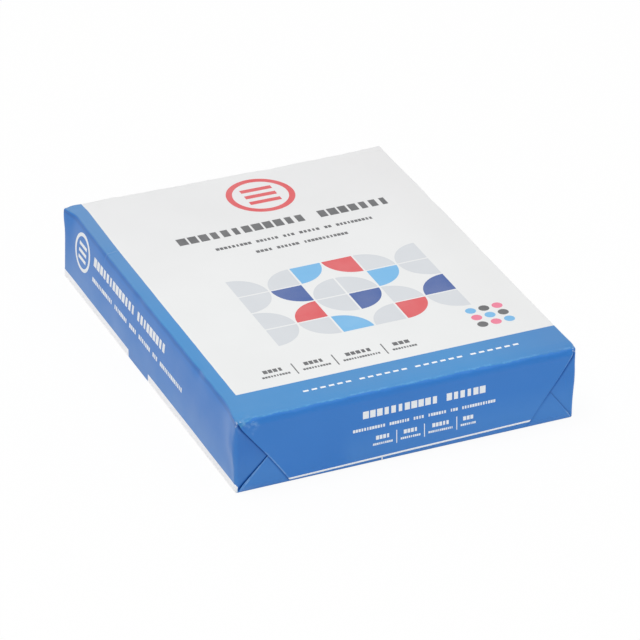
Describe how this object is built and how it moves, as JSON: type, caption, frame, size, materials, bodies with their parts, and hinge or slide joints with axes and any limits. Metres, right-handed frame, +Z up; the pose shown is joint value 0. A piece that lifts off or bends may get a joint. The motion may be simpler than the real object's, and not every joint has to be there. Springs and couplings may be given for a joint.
{
  "type": "ream of paper",
  "caption": "Sealed letter-size ream of copy paper: a squared stack wrapped in printed paper, with folded and glued ends and a seam underneath.",
  "frame": {"origin": "middle of the underside, on the surface that the ream lies on", "axes": "+X to the right along the front end, +Y from the front end to the back end along the sheets' length, +Z up out of the top sheet"},
  "size_m": [0.2181, 0.2815, 0.0484],
  "materials": {
    "wrapper": "satin coated wrapping paper, printed blue on white"
  },
  "bodies": {
    "root": {"wrapped_ream": "wrapper"}
  },
  "joints": []
}
